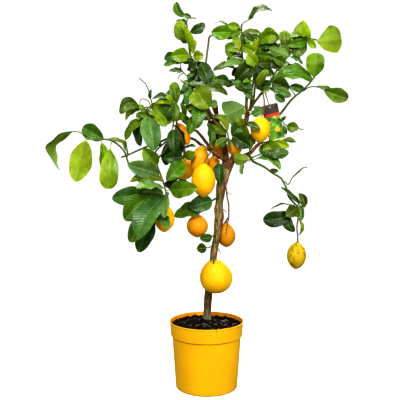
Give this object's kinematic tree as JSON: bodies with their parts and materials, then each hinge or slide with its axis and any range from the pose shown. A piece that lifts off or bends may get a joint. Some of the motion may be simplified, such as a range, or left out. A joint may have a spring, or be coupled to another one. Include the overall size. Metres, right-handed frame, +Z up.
{
  "type": "potted lemon tree",
  "caption": "Young citrus tree with a crooked trunk, leafy branches, hanging yellow fruit and a tied plant label, growing in a smooth tapered plastic pot.",
  "frame": {"origin": "middle of the pot's underside, on the surface it stands on", "axes": "+Z up along the pot's axis, -Y towards the side seen from the front, +X to the right as seen from the front"},
  "size_m": [0.7414, 0.3781, 0.9874],
  "materials": {
    "pot_plastic": "satin",
    "compost": "crumbly matt",
    "bark": "rough matt",
    "foliage": "waxy gloss",
    "lemon_peel": "waxy, pored",
    "label_card": "printed satin",
    "tie_wire": "matt"
  },
  "bodies": {
    "root": {"back_crest_spray": "foliage", "back_left_limb": "foliage", "back_low_left_spray": "foliage", "back_low_limb": "foliage", "back_right_limb": "foliage", "bare_shoot": "bark", "broad_leaf_spray": "foliage", "centre_spray": "foliage", "crest_spray": "foliage", "dangling_twig": "bark", "drooping_branch": "bark", "drooping_spray": "foliage", "far_back_spray": "foliage", "far_left_spray": "foliage", "front_limb": "foliage", "hanging_pair": "foliage", "heart_spray": "foliage", "inner_left_spray": "foliage", "inner_right_spray": "foliage", "label_side_spray": "foliage", "label_tie": "tie_wire", "leader": "bark", "left_crest_spray": "foliage", "left_limb": "bark", "lemon_behind": "lemon_peel", "lemon_beside_trunk": "lemon_peel", "lemon_centre": "lemon_peel", "lemon_far_right": "lemon_peel", "lemon_front": "lemon_peel", "lemon_heart": "lemon_peel", "lemon_inner_left": "lemon_peel", "lemon_low": "lemon_peel", "lemon_lower_left": "lemon_peel", "lemon_on_trunk": "lemon_peel", "lemon_right": "lemon_peel", "lemon_shaded": "lemon_peel", "lemon_upper_left": "lemon_peel", "low_centre_spray": "foliage", "low_left_limb": "bark", "low_left_spray": "foliage", "low_right_limb": "foliage", "lower_right_spray": "foliage", "middle_right_spray": "foliage", "pale_leaf_spray": "foliage", "plant_label": "label_card", "pot": "pot_plastic", "right_heart_spray": "foliage", "right_limb": "bark", "soil": "compost", "top_centre_spray": "foliage", "top_left_spray": "foliage", "trunk": "bark", "trunk_leaf": "foliage", "trunk_pair": "foliage", "upper_heart_spray": "foliage", "upper_left_spray": "foliage", "upper_right_spray": "foliage"}
  },
  "joints": []
}
